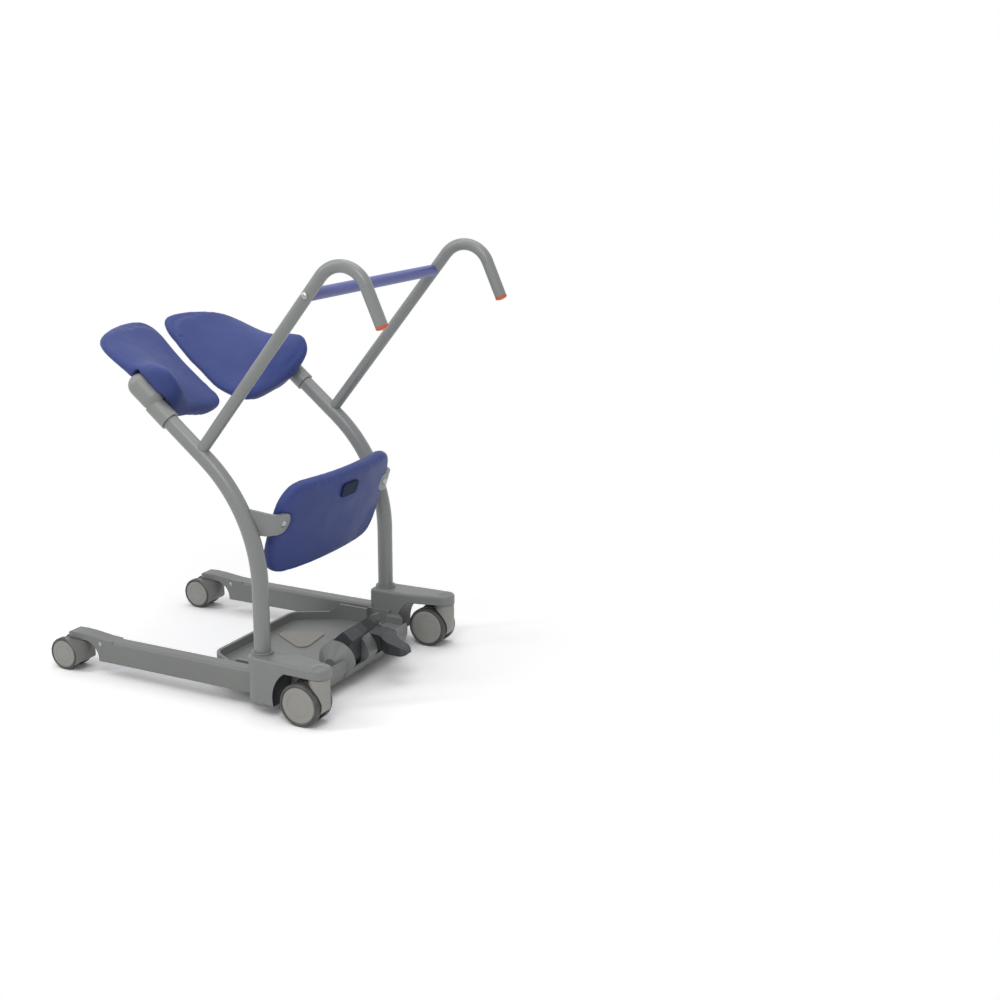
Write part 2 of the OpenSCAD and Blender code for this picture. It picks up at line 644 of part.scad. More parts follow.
// leg side outline, heights from the two tops, underside of the tail clear of the caster's sweep
function tail_clear(z) = let (r = rear_wheel_d / 2, chord = sqrt(max(r * r - pow(max(z, r) - r, 2), 0)))
    norm([rear_trail + chord, caster_web / 2 + face_gap + rear_wheel_w]) + face_gap * 5;
function leg_side() = let (back = -rear_axis - leg_w / 2 - leg_wall, low = rear_deck)
    [[0, leg_foot], [0, leg_top], [-rear_axis + leg_w * 3, leg_top],
        [-rear_axis + leg_w * 2.3, leg_top + leg_wall / 4],
        [-rear_axis + leg_w, tail_top - leg_wall / 4], [-rear_axis + leg_w / 3, tail_top],
        [back + leg_w / 3, tail_top - leg_wall / 6], [back + leg_wall, tail_top - leg_wall],
        [back, tail_top - leg_wall * 2], [back, low],
        for (k = [0:8]) let (z = low + (rear_wheel_d / 2 - low) * k / 8) [-rear_axis + tail_clear(z), z],
        [-rear_axis + tail_clear(0), leg_foot]];
module leg_shell(inset) intersection() {
    translate([0, leg_w / 2 - inset, 0]) rotate([90, 0, 0]) linear_extrude(leg_w - inset * 2)
        polygon(leg_side());
    translate([0, 0, leg_foot]) linear_extrude(tail_top) polygon(rounded(
        [[0, -leg_w / 2], [0, leg_w / 2], [-rear_axis - leg_w / 2 - leg_wall, leg_w / 2],
            [-rear_axis - leg_w / 2 - leg_wall, -leg_w / 2]], [0, 0, leg_w * 0.48, leg_w * 0.48]));
    union() {
        rotate([90, 0, -90]) linear_extrude(rear_axis - leg_w * 3) polygon(rounded(
            [[-leg_w / 2, leg_foot], [leg_w / 2, leg_foot], [leg_w / 2, leg_top], [-leg_w / 2, leg_top]],
            [0, 0, leg_round, leg_round]));
        translate([-rear_axis * 2 + leg_w * 3, -leg_w, 0]) cube([rear_axis, leg_w * 2, tail_top * 2]);
    }
}
module leg(c) color(chassis_grey) placed() sided(c) translate([0, leg_y, 0]) difference() {
    union() {
        difference() {
            leg_shell(0);
            translate([0, 0, -overrun]) cylinder(r = leg_start, h = tail_top + overrun);
            translate([-rear_axis + leg_w * 2.6, leg_wall - leg_w / 2, leg_foot - overrun])
                cube([rear_axis - leg_w * 4.1, leg_w - leg_wall * 2,
                    leg_top - leg_foot - leg_wall + overrun]);
        }
        translate([0, 0, tongue_low]) {
            cylinder(r = tongue_r, h = tongue_high - tongue_low);
            translate([-leg_start - leg_w / 4, -leg_w * 0.45, 0])
                cube([leg_start + leg_w / 4, leg_w * 0.9, tongue_high - tongue_low]);
        }
    }
    cylinder(d = leg_pin_d + run_fit * 2, h = tail_top);
    translate([tail_screw_x - rear_axis, 0, tail_screw_z]) rotate([90, 0, 0])
        cylinder(d = tail_screw_d, h = leg_w + overrun * 2, center = true);
    translate([-rear_axis, 0, rear_deck - overrun])
        cylinder(d = stem_d + run_fit * 2, h = stem_up + face_gap * 2 + overrun);
}

module tail_screw(c) color(steel) placed() sided(c)
    translate([tail_screw_x - rear_axis, leg_y, tail_screw_z]) rotate([90, 0, 0]) {
        cylinder(d = tail_screw_d, h = leg_w, center = true);
        for (s = [0, 1]) mirror([0, 0, s]) translate([0, 0, leg_w / 2]) dome(tail_head_d / 2, tail_head_h);
    }

function mirrored(p) = [each p, for (i = [len(p) - 1:-1:0]) [p[i].x, -p[i].y]];
function tray_plan(in) = mirrored(rounded([[-tray_back + in, 0],
    [-tray_back + in, tray_rear_half - in * 0.75],
    [-tray_back / 2, tray_half - in], [-block_back, tray_half - in],
    [-block_back, block_y - in], [tray_front, block_y - in], [tray_front, 0]],
    [0, tray_round - in, tray_round * 1.5, 0, 0, 0, 0]));

module footplate() color(chassis_grey) placed() difference() {
    translate([0, 0, tray_foot]) linear_extrude(rim_high - tray_foot) polygon(tray_plan(0));
    translate([overrun, 0, tray_floor]) linear_extrude(rim_high) polygon(tray_plan(tray_wall));
    rotate([90, 0, 0]) translate([0, 0, -tray_half * 2]) linear_extrude(tray_half * 4) polygon(
        [[-tray_back * 2, rim_low], [-tray_back * 0.6, rim_low], [-tray_back * 0.49, rim_high],
            [-tray_back * 0.49, rim_high * 2], [-tray_back * 2, rim_high * 2]]);
}

module tread_mat() color(mat_grey) placed() translate([0, 0, tray_floor])
    linear_extrude(mat_t) polygon(rounded(
        [for (s = mat_shares) [s.x * tray_back, s.y * tray_half]], [mat_round, mat_round, mat_round]));

function beam_plan(in) = mirrored([[tray_front + in, 0], [tray_front + in, block_y - in],
    [shaft_x * 0.78, block_y - in], [shaft_x * 1.25 - in, block_y * 0.84 - in],
    [shaft_x * 1.5 - in, block_y * 0.77 - in], [shaft_x * 1.5 - in, 0]]);
module beam_solid(in) intersection() {
    translate([0, 0, beam_foot]) linear_extrude(beam_top - beam_foot - in) polygon(beam_plan(in));
    translate([0, block_y, 0]) rotate([90, 0, 0]) linear_extrude(block_y * 2) polygon(rounded(
        [[tray_front, beam_foot], [shaft_x * 1.25 - in, beam_foot], [shaft_x * 1.475 - in, beam_top * 0.68],
            [shaft_x * 1.5 - in, beam_top - in], [tray_front, beam_top - in]],
        [0, 0, beam_foot, beam_wall * 2, 0]));
}
module beam_well(more) translate([tray_front - overrun, -block_y * 0.9 - more, well_z - more])
    cube([shaft_x * 1.37 - tray_front + overrun + more, block_y * 1.8 + more * 2, beam_top]);
module hood_solid() along_y(shaft_x, shaft_z) for (s = [0, 1]) mirror([0, 0, s]) {
    cylinder(r = hood_r, h = hood_half);
    translate([0, 0, hood_half]) cylinder(r1 = hood_r, r2 = hood_r * 0.3, h = hood_slope);
}
module front_beam() color(chassis_grey) placed() difference() {
    beam_solid(0);
    translate([0, 0, -overrun]) difference() {
        beam_solid(beam_wall);
        beam_well(beam_wall + overrun);
    }
    beam_well(0);
    hood_solid();
}

// side outline that holds the hood's front behind the beam's sloping face
module hood_room(in) translate([0, block_y, 0]) rotate([90, 0, 0]) linear_extrude(block_y * 2) polygon(
    [[0, beam_foot - overrun], [shaft_x * 1.25 - in, beam_foot - overrun], [shaft_x + hood_r - in, shaft_z],
        [shaft_x + hood_r - in, block_top], [0, block_top]]);
module pedal_slots() for (c = SIDES) sided(c) translate([0, pedal_off - pedal_w / 2 - face_gap * 2, 0])
    translate([shaft_x, pedal_w + face_gap * 4, shaft_z]) rotate([90, 0, 0])
        linear_extrude(pedal_w + face_gap * 4) polygon([[0, 0],
            for (a = [-16:12:128]) hood_r * 1.5 * [cos(a), sin(a)]]);
module pedal_hood() color(chassis_grey) placed() difference() {
    intersection() {
        hood_solid();
        hood_room(0);
    }
    intersection() {
        for (c = SIDES) sided(c) translate([shaft_x, pedal_off + pedal_w / 2 + face_gap * 2, shaft_z])
            rotate([90, 0, 0]) cylinder(r = hood_r - hood_wall, h = pedal_w + face_gap * 4);
        hood_room(hood_wall);
    }
    pedal_slots();
    translate([0, -block_y, beam_foot - hood_r * 2]) cube([shaft_x * 2, block_y * 2, hood_r * 2]);
    translate([0, -block_y, 0]) cube([tray_front, block_y * 2, tray_floor]);
    along_y(shaft_x, shaft_z) cylinder(d = shaft_d, h = hood_end * 2 - hood_slope, center = true);
}
module pedal_shaft() color(steel) placed() along_y(shaft_x, shaft_z)
    cylinder(d = shaft_d, h = hood_end * 2 - hood_slope, center = true);

function pedal_plan() = rounded([for (s = pedal_plan_shares) [s.x * pedal_reach, s.y * pedal_w]],
    pedal_round_shares * pedal_w);
module pedal(c) color(charcoal) placed() sided(c) translate([shaft_x, pedal_off, shaft_z])
    rotate([0, is_left(c) ? pedal_travel - pedal_up_angle : -pedal_up_angle, 0]) difference() {
        union() {
            intersection() {
                rotate([90, 0, 0]) linear_extrude(pedal_w * 2, center = true)
                    polygon(curve(pedal_shares * pedal_reach, 3));
                translate([0, 0, -pedal_reach]) linear_extrude(pedal_reach * 2) polygon(pedal_plan());
            }
            rotate([90, 0, 0]) cylinder(d = shaft_d * 1.8, h = pedal_w, center = true);
        }
        rotate([90, 0, 0]) cylinder(d = shaft_d + run_fit * 2, h = pedal_w * 2, center = true);
    }

function wheel_r(c) = pick(c, front_wheel_d, rear_wheel_d) / 2;
function wheel_w(c) = pick(c, front_wheel_w, rear_wheel_w);
function trail(c) = pick(c, front_trail, rear_trail);
function neck_top(c) = pick(c, deck_z, rear_deck) - face_gap;
function core_r(c) = wheel_r(c) * 0.84;
module wheel_axis(c) at_corner(c) translate([-trail(c), 0, wheel_r(c)]) rotate([-90, 0, 0]) children();
module on_wheel(c, out) wheel_axis(c) mirror([0, 0, out ? 0 : 1])
    translate([0, 0, caster_web / 2 + face_gap]) children();

module caster_body(c) color(caster_grey) placed() at_corner(c) {
    hood = pick(c, front_neck_d / 2, rear_hood_r);
    neck = pick(c, front_neck_d, rear_neck_d);
    top = neck_top(c);
    r = wheel_r(c);
    difference() {
        union() {
            difference() {
                intersection() {
                    translate([0, 0, r * 0.4]) cylinder(r = hood, h = top - r * 0.4);
                    translate([0, hood, 0]) rotate([90, 0, 0]) linear_extrude(hood * 2) polygon(
                        curve([for (s = hood_shares) [s.x * hood, s.y * top]], 4));
                }
                translate([-trail(c), 0, r]) rotate([90, 0, 0])
                    cylinder(r = r + face_gap * 4, h = hood * 3, center = true);
            }
            translate([0, 0, r * 2 + face_gap]) cylinder(d = neck, h = top - r * 2 - face_gap);
            translate([-trail(c), 0, r]) rotate([90, 0, 0])
                cylinder(r = r * 0.62, h = caster_web, center = true);
            translate([0, caster_web / 2, 0]) rotate([90, 0, 0]) linear_extrude(caster_web)
                polygon([[-trail(c) - r * 0.4, r * 1.4], [-neck / 2, r * 2 + face_gap * 2],
                    [neck * 0.4, r * 2 + face_gap * 2], [hood * 0.8, r * 1.5],
                    [hood * 0.7, r * 0.8], [-trail(c), r * 0.5]]);
        }
        translate([0, 0, top - stem_up * 3]) cylinder(d = stem_d, h = stem_up * 4);
        translate([-trail(c), 0, r]) rotate([90, 0, 0]) cylinder(d = axle_d, h = hood * 3, center = true);
    }
}
module caster_stem(c) color(steel) placed() at_corner(c)
    translate([0, 0, neck_top(c) - stem_up * 3]) cylinder(d = stem_d, h = stem_up * 4);
module caster_axle(c) color(steel) placed() wheel_axis(c)
    cylinder(d = axle_d, h = caster_web + wheel_w(c) * 1.5, center = true);

// half section of a wheel core with its groove, shares of radius and width
core_shares = [[0, 1], [0.6, 1], [0.62, 0.97], [0.66, 0.97], [0.68, 1], [0.93, 1], [1, 0.93], [1, 0.07],
    [0.93, 0], [0, 0]];
module wheel_core(c, out) color(caster_grey) placed() on_wheel(c, out) difference() {
    rotate_extrude() polygon([for (s = core_shares) [s.x * core_r(c), s.y * wheel_w(c)]]);
    translate([0, 0, -overrun]) cylinder(d = axle_d + run_fit * 2, h = wheel_w(c) * 0.76 + overrun);
}
function tyre_corner(c) = min(tyre_round, wheel_r(c) - core_r(c) - overrun) * 0.95;
module tyre(c, out) color(tyre_grey) placed() on_wheel(c, out) rotate_extrude() polygon(rounded(
    [[core_r(c), wheel_w(c) * 0.07], [core_r(c) + overrun, 0], [wheel_r(c), 0], [wheel_r(c), wheel_w(c)],
        [core_r(c) + overrun, wheel_w(c)], [core_r(c), wheel_w(c) * 0.93]],
    [0, 0, tyre_corner(c), tyre_corner(c), 0, 0]));

for (c = SIDES) {
    side_block(c);
    upright(c);
    rail(c);
    rail_cap(c);
    knee_bracket(c);
    leg(c);
    tail_screw(c);
    seat_arm(c);
    seat_pad(c);
    pedal(c);
}
for (c = CORNERS) {
    caster_body(c);
    caster_stem(c);
    caster_axle(c);
    wheel_core(c, true);
    wheel_core(c, false);
    tyre(c, true);
    tyre(c, false);
}
footplate();
tread_mat();
front_beam();
pedal_hood();
pedal_shaft();
crossbar();
crossbar_bolts();
knee_pad();
knee_screws();
badge_plate();
leg_pivot_pins();
seat_pivot_pins();
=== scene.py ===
"""Standing transfer aid: materials, soft pads, floor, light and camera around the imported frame."""

import bpy
from mathutils import Matrix, Vector

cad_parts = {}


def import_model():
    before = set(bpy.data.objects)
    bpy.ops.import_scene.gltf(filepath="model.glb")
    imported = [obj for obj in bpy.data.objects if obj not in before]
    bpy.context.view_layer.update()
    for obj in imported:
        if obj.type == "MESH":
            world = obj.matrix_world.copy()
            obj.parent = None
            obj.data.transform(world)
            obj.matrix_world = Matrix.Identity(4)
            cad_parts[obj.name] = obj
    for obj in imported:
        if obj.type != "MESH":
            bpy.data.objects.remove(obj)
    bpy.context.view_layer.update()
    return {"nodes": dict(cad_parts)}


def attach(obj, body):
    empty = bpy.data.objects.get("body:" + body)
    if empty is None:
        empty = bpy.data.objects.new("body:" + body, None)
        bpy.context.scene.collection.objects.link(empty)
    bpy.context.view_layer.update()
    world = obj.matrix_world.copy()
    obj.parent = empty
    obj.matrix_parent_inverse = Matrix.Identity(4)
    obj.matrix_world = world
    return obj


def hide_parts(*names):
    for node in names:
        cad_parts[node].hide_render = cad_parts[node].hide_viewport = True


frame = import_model()
nodes = frame["nodes"]
scene = bpy.context.scene
scene.view_settings.view_transform = "Standard"

SIDES = ("left", "right")
WHITE = (1.0, 1.0, 1.0, 1.0)
BLACK = (0.0, 0.0, 0.0, 1.0)

# The sRGB curve: a straight foot below the knee, and a power above it.
SRGB_KNEE, SRGB_FOOT, SRGB_OFFSET, SRGB_POWER = 0.04045, 12.92, 0.055, 2.4


def linear(code):
    """An sRGB hex colour as linear red, green, blue and alpha."""
    colour = []
    for start in (0, 2, 4):
        part = int(code[start:start + 2], 16) / 255
        if part <= SRGB_KNEE:
            colour.append(part / SRGB_FOOT)
        else:
            colour.append(((part + SRGB_OFFSET) / (1.0 + SRGB_OFFSET)) ** SRGB_POWER)
    return colour + [1.0]


def shade(colour, factor):
    """A linear colour made lighter or darker."""
    return [min(1.0, c * factor) for c in colour[:3]] + [1.0]


# Rays that feel for an edge, and how far the softened normal turns on a full edge.
EDGE_SAMPLES = 6
EDGE_TURN = 0.35


class Surface:
    """A material whose colour, roughness and relief all come from nodes in object space."""

    def __init__(self, name):
        self.material = bpy.data.materials.new(name)
        self.material.use_nodes = True
        self.tree = self.material.node_tree
        self.tree.nodes.clear()
        self.out = self.add("ShaderNodeOutputMaterial")
        self.body = self.add("ShaderNodeBsdfPrincipled")
        self.link(self.body.outputs[0], self.out.inputs["Surface"])
        self.place = self.add("ShaderNodeTexCoord").outputs["Object"]

    def add(self, kind, **settings):
        node = self.tree.nodes.new(kind)
        for key, value in settings.items():
            setattr(node, key, value)
        return node

    def link(self, source, target):
        self.tree.links.new(source, target)

    def feed(self, socket, value):
        if hasattr(value, "is_output"):
            self.link(value, socket)
        else:
            socket.default_value = value

    def noise(self, scale, detail=3.0, rough=0.55, place=None):
        node = self.add("ShaderNodeTexNoise")
        node.inputs["Scale"].default_value = scale
        node.inputs["Detail"].default_value = detail
        node.inputs["Roughness"].default_value = rough
        self.link(place or self.place, node.inputs["Vector"])
        return node.outputs["Fac"]

    def cells(self, scale, feature="F1"):
        node = self.add("ShaderNodeTexVoronoi", feature=feature)
        node.inputs["Scale"].default_value = scale
        self.link(self.place, node.inputs["Vector"])
        return node.outputs["Distance"]

    def stretch(self, factors):
        node = self.add("ShaderNodeMapping")
        node.inputs["Scale"].default_value = factors
        self.link(self.place, node.inputs["Vector"])
        return node.outputs["Vector"]

    def span(self, value, low, high, to_low=0.0, to_high=1.0):
        node = self.add("ShaderNodeMapRange")
        node.inputs["From Min"].default_value = low
        node.inputs["From Max"].default_value = high
        node.inputs["To Min"].default_value = to_low
        node.inputs["To Max"].default_value = to_high
        self.link(value, node.inputs["Value"])
        return node.outputs["Result"]

    def maths(self, operation, first, second):
        node = self.add("ShaderNodeMath", operation=operation)
        self.feed(node.inputs[0], first)
        self.feed(node.inputs[1], second)
        return node.outputs[0]

    def times(self, first, second):
        return self.maths("MULTIPLY", first, second)

    def mix(self, share, first, second):
        node = self.add("ShaderNodeMix", data_type="RGBA")
        self.feed(node.inputs["Factor"], share)
        self.feed(node.inputs[6], first)
        self.feed(node.inputs[7], second)
        return node.outputs[2]

    def tones(self, share, colour, dark, light):
        """A colour that drifts between a darker and a lighter shade of itself."""
        return self.mix(share, shade(colour, dark), shade(colour, light))

    def softened(self, radius):
        """The normal, rounded over the edges."""
        bevel = self.add("ShaderNodeBevel", samples=EDGE_SAMPLES)
        bevel.inputs["Radius"].default_value = radius
        return bevel.outputs[0]

    def edges(self, soft):
        """How much a point lies on an edge: where the softened normal leaves the true one."""
        true = self.add("ShaderNodeNewGeometry").outputs["Normal"]
        dot = self.add("ShaderNodeVectorMath", operation="DOT_PRODUCT")
        self.link(soft, dot.inputs[0])
        self.link(true, dot.inputs[1])
        return self.span(dot.outputs["Value"], 1.0, 1.0 - EDGE_TURN)

    def relief(self, height, depth, strength, normal=None):
        node = self.add("ShaderNodeBump")
        node.inputs["Strength"].default_value = strength
        node.inputs["Distance"].default_value = depth
        self.link(height, node.inputs["Height"])
        if normal is not None:
            self.link(normal, node.inputs["Normal"])
        return node.outputs[0]

    def finish(self, colour, rough, normal=None, **constants):
        self.feed(self.body.inputs["Base Color"], colour)
        self.feed(self.body.inputs["Roughness"], rough)
        if normal is not None:
            self.link(normal, self.body.inputs["Normal"])
        for key, value in constants.items():
            self.body.inputs[key.replace("_", " ")].default_value = value
        return self.material


# The front wheel arch in metres: its centre, its radius and the height of its roof.
ARCH_X, ARCH_Z, ARCH_R, ARCH_TOP = 0.26354, 0.05, 0.0768, 0.1136
# Painted shade: the near-black colour laid inside the front wheel arches, where only shade falls.
ARCH_SHADE_COLOUR = "17181a"


def arch_shade_share(s):
    """One inside a wheel arch, whose shade is painted in as a near-black colour, zero on the painted outside of
    its block.
    """
    axes = s.add("ShaderNodeSeparateXYZ")
    s.link(s.place, axes.inputs[0])
    ahead = s.maths("SUBTRACT", axes.outputs["X"], ARCH_X)
    above = s.maths("SUBTRACT", axes.outputs["Z"], ARCH_Z)
    square = s.maths("ADD", s.times(ahead, ahead), s.times(above, above))
    inside = s.maths("LESS_THAN", square, ARCH_R * ARCH_R)
    inside = s.maths("MAXIMUM", inside, s.maths("GREATER_THAN", ahead, 0.0))
    return s.times(inside, s.maths("LESS_THAN", axes.outputs["Z"], ARCH_TOP))


def coated(name, code, grain, depth, rough, edge, worn, arch_shaded=False):
    """Powder coat or paint: drifting shade, fine orange peel, paler rubbed edges and scuffed gloss."""
    s = Surface(name)
    colour = linear(code)
    drift = s.span(s.noise(scale=5.0, detail=2.0), low=0.3, high=0.7)
    speck = s.span(s.noise(scale=grain * 1.7, detail=2.0, rough=0.6), low=0.35, high=0.65)
    paint = s.tones(drift, colour, dark=0.95, light=1.04)
    paint = s.mix(s.times(speck, 0.35), paint, shade(colour, 0.9))
    soft = s.softened(edge)
    patchy = s.span(s.noise(scale=60.0, detail=4.0), low=0.35, high=0.62)
    rub = s.times(s.edges(soft), patchy)
    paint = s.mix(s.times(rub, worn), paint, shade(colour, 1.5))
    # Painted shade: the inside of a wheel arch is painted near-black.
    if arch_shaded:
        paint = s.mix(arch_shade_share(s), paint, linear(ARCH_SHADE_COLOUR))
    scuff = s.noise(scale=42.0, detail=5.0, rough=0.7, place=s.stretch((1.0, 1.0, 3.0)))
    gloss = s.span(scuff, low=0.3, high=0.75, to_low=rough - 0.02, to_high=rough + 0.06)
    peel = s.noise(scale=grain, detail=2.0, rough=0.5)
    return s.finish(paint, gloss, s.relief(peel, depth, strength=0.3, normal=soft))


def moulded(name, code, grain, depth, rough, edge, worn, **constants):
    """Moulded plastic: a spark-eroded grain, faint flow marks and edges polished by handling."""
    s = Surface(name)
    colour = linear(code)
    marks = s.noise(scale=9.0, detail=3.0, rough=0.6, place=s.stretch((1.0, 2.2, 1.0)))
    paint = s.tones(s.span(marks, low=0.3, high=0.7), colour, dark=0.93, light=1.05)
    soft = s.softened(edge)
    patchy = s.span(s.noise(scale=85.0, detail=4.0), low=0.4, high=0.65)
    rub = s.times(s.edges(soft), patchy)
    paint = s.mix(s.times(rub, worn), paint, shade(colour, 1.6))
    grit = s.maths("ADD", s.cells(grain), s.noise(scale=grain * 0.6, detail=3.0))
    handled = s.noise(scale=30.0, detail=4.0)
    gloss = s.span(handled, low=0.3, high=0.7, to_low=rough - 0.05, to_high=rough + 0.08)
    return s.finish(paint, gloss, s.relief(grit, depth, strength=0.35, normal=soft), **constants)


def rubber(name, code, dust_code, dust, rough, edge):
    """Wheel rubber: fine pitted skin with floor dust lodged in patches, and a painted highlight along its edges.
    """
    s = Surface(name)
    colour = linear(code)
    patch = s.span(s.noise(scale=38.0, detail=5.0, rough=0.65), low=0.46, high=0.74)
    paint = s.mix(s.times(patch, dust), colour, linear(dust_code))
    soft = s.softened(edge)
    # Painted highlight: every edge of the rubber is made paler.
    paint = s.mix(s.times(s.edges(soft), 0.4), paint, shade(colour, 1.5))
    pits = s.maths("ADD", s.noise(scale=900.0, detail=3.0), s.noise(scale=240.0, detail=2.0))
    gloss = s.span(patch, low=0.0, high=1.0, to_low=rough, to_high=rough + 0.2)
    return s.finish(paint, gloss, s.relief(pits, depth=0.0003, strength=0.4, normal=soft))


# Painted shade in the hollows between the pebbles of a grained skin, as shares of red, green and blue.
PEBBLE_HOLLOW_SHADE = (0.82, 0.84, 0.9)


def foam_skin(name, code):
    """Skinned foam: pebbled leather-like grain with painted shade in its hollows, pores, soft mottling and a
    faint sheen.
    """
    s = Surface(name)
    colour = linear(code)
    drift = s.span(s.noise(scale=7.0, detail=3.0), low=0.3, high=0.7)
    paint = s.tones(drift, colour, dark=0.93, light=1.06)
    pebble = s.cells(scale=420.0, feature="SMOOTH_F1")
    # Painted shade: the skin is darker in the hollows of its grain.
    hollow_shade = [c * share for c, share in zip(colour, PEBBLE_HOLLOW_SHADE)] + [1.0]
    crowns = s.span(pebble, low=0.25, high=0.75, to_low=0.0, to_high=0.3)
    paint = s.mix(crowns, hollow_shade, paint)
    polish = s.span(s.noise(scale=14.0, detail=4.0), low=0.35, high=0.7, to_low=0.46, to_high=0.6)
    pores = s.times(s.noise(scale=1500.0, detail=2.0), 0.5)
    grain = s.relief(s.maths("ADD", pebble, pores), depth=0.0004, strength=0.3)
    return s.finish(paint, polish, grain, Specular_IOR_Level=0.22, Sheen_Weight=0.02, Sheen_Roughness=0.4)


def studded_mat(name, code, pitch):
    """Rubber tread mat: low studs with scuffed crowns."""
    s = Surface(name)
    colour = linear(code)
    wear = s.span(s.noise(scale=26.0, detail=4.0), low=0.35, high=0.7)
    paint = s.tones(wear, colour, dark=0.92, light=1.06)
    stud = s.span(s.cells(1.0 / pitch), low=0.2, high=0.42, to_low=1.0, to_high=0.0)
    paint = s.mix(s.times(stud, 0.35), paint, shade(colour, 1.12))
    rough = s.span(wear, low=0.0, high=1.0, to_low=0.62, to_high=0.82)
    return s.finish(paint, rough, s.relief(stud, depth=0.0006, strength=0.5))


def plated(name, code, rough, edge):
    """Plated steel: fine turning marks and a little tarnish."""
    s = Surface(name)
    colour = linear(code)
    tarnish = s.span(s.noise(scale=90.0, detail=5.0), low=0.4, high=0.75)
    paint = s.mix(tarnish, colour, shade(colour, 0.8))
    marks = s.noise(scale=1400.0, detail=2.0, rough=0.5, place=s.stretch((1.0, 1.0, 0.2)))
    gloss = s.span(marks, low=0.3, high=0.7, to_low=rough, to_high=rough + 0.12)
    normal = s.relief(marks, depth=0.0001, strength=0.2, normal=s.softened(edge))
    return s.finish(paint, gloss, normal, Metallic=1.0)


# Lengths in metres: the depth of the grain, the width of a softened edge and the pitch of the studs.
tube_grey = coated("tube_grey", "868988", grain=320.0, depth=0.0001, rough=0.29, edge=0.0016, worn=0.3)
cast_grey = coated("cast_grey", "797b79", grain=380.0, depth=0.00025, rough=0.42, edge=0.0028, worn=0.45)
block_grey = coated("block_grey", "7f8281", grain=380.0, depth=0.00025, rough=0.42, edge=0.0028, worn=0.45,
                    arch_shaded=True)
arm_grey = coated("arm_grey", "8b8d8b", grain=420.0, depth=0.00015, rough=0.34, edge=0.002, worn=0.3)
bar_blue = coated("bar_blue", "525a9a", grain=560.0, depth=0.0001, rough=0.36, edge=0.0012, worn=0.3)
caster_grey = moulded("caster_grey", "94938e", grain=650.0, depth=0.0003, rough=0.42, edge=0.0012, worn=0.3)
# Painted shade: a darker copy of the caster grey for the rear caster bodies, standing in for the shade they sit
# in.
caster_grey_painted_shade = moulded("caster_grey_painted_shade", "6c6c69", grain=650.0, depth=0.0003, rough=0.42, edge=0.0012, worn=0.3)
pedal_charcoal = moulded("pedal_charcoal", "35373b", grain=480.0, depth=0.0006, rough=0.46, edge=0.002, worn=0.4)
cap_orange = moulded("cap_orange", "cd5730", grain=700.0, depth=0.0003, rough=0.38, edge=0.0014, worn=0.25)
badge_dark = moulded("badge_dark", "1b2945", grain=900.0, depth=0.0002, rough=0.6, edge=0.0008, worn=0.2,
                     Specular_IOR_Level=0.1)
tyre_grey = rubber("tyre_grey", "3f3f3e", dust_code="8b8a86", dust=0.3, rough=0.5, edge=0.0015)
pad_blue = foam_skin("pad_blue", "404d86")
tread_mat = studded_mat("tread_mat", "918f89", pitch=0.006)
steel = plated("steel", "a9abac", rough=0.18, edge=0.0006)

# How a node's name starts, and its finish. The first that fits counts.
FINISHES = (
    ("tyre", tyre_grey), ("wheel", caster_grey), ("caster_body_rear", caster_grey_painted_shade),
    ("caster_body", caster_grey), ("caster_", steel), ("knee_pad", pad_blue), ("seat_pad", pad_blue),
    ("seat_arm", arm_grey), ("rail_cap", cap_orange), ("rail", tube_grey), ("upright", tube_grey),
    ("knee_bracket", tube_grey), ("crossbar_bolts", steel), ("crossbar", bar_blue), ("knee_screws", steel),
    ("badge", badge_dark), ("leg_pivot", steel), ("seat_pivot", steel), ("pedal_hood", cast_grey),
    ("pedal_shaft", steel), ("pedal", pedal_charcoal), ("tread", tread_mat), ("tail_screw", steel),
    ("side_block", block_grey),
)


def finish_of(node):
    """The finish that belongs to a node, told by its name; a painted casting where no other fits."""
    for start, material in FINISHES:
        if node.startswith(start):
            return material
    return cast_grey


for name in nodes:
    mesh = nodes[name].data
    mesh.materials.clear()
    mesh.materials.append(finish_of(name))

# Metres: the grid of a pad's skin, and how far its simulation may move a point.
PAD_VOXEL = 0.0045
PAD_INSET = 0.0024
PAD_FRAMES = 20
PAD_PRESSURE = 4.0
RELAX_PASSES = 5
RELAX_FACTOR = 0.5
CLOTH_QUALITY = 5
CLOTH_MASS = 0.3
SMALLEST_STEP = 1e-9


def settled(pad):
    """The mesh of an object with its modifiers applied."""
    graph = bpy.context.evaluated_depsgraph_get()
    return bpy.data.meshes.new_from_object(pad.evaluated_get(graph))


def bake(pad):
    """An object's modifiers become part of its mesh."""
    mesh = settled(pad)
    pad.modifiers.clear()
    pad.data = mesh


def remesh(pad):
    """One even skin over a solid, its facets relaxed."""
    skin = pad.modifiers.new("skin", "REMESH")
    skin.mode = "VOXEL"
    skin.voxel_size = PAD_VOXEL
    relax = pad.modifiers.new("relax", "CORRECTIVE_SMOOTH")
    relax.use_only_smooth = True
    relax.iterations = RELAX_PASSES
    relax.factor = RELAX_FACTOR
    bake(pad)


def swell(pad):
    """Foam pressing on its skin: a short simulation from a smaller start, each point held near its place."""
    points = pad.data.vertices
    starts = [p.co - p.normal * PAD_INSET for p in points]
    for point, start in zip(points, starts):
        point.co = start
    cloth = pad.modifiers.new("cloth", "CLOTH")
    cloth.settings.quality = CLOTH_QUALITY
    cloth.settings.mass = CLOTH_MASS
    cloth.settings.use_pressure = True
    cloth.settings.uniform_pressure_force = PAD_PRESSURE
    cloth.settings.effector_weights.gravity = 0.0
    cloth.point_cache.frame_start = 1
    cloth.point_cache.frame_end = PAD_FRAMES
    for number in range(1, PAD_FRAMES + 1):
        scene.frame_set(number)
    moved = [p.co.copy() for p in settled(pad).vertices]
    pad.modifiers.clear()
    for point, start, end in zip(points, starts, moved):
        step = end - start
        point.co = start + step * min(1.0, PAD_INSET / max(step.length, SMALLEST_STEP))
    scene.frame_set(1)


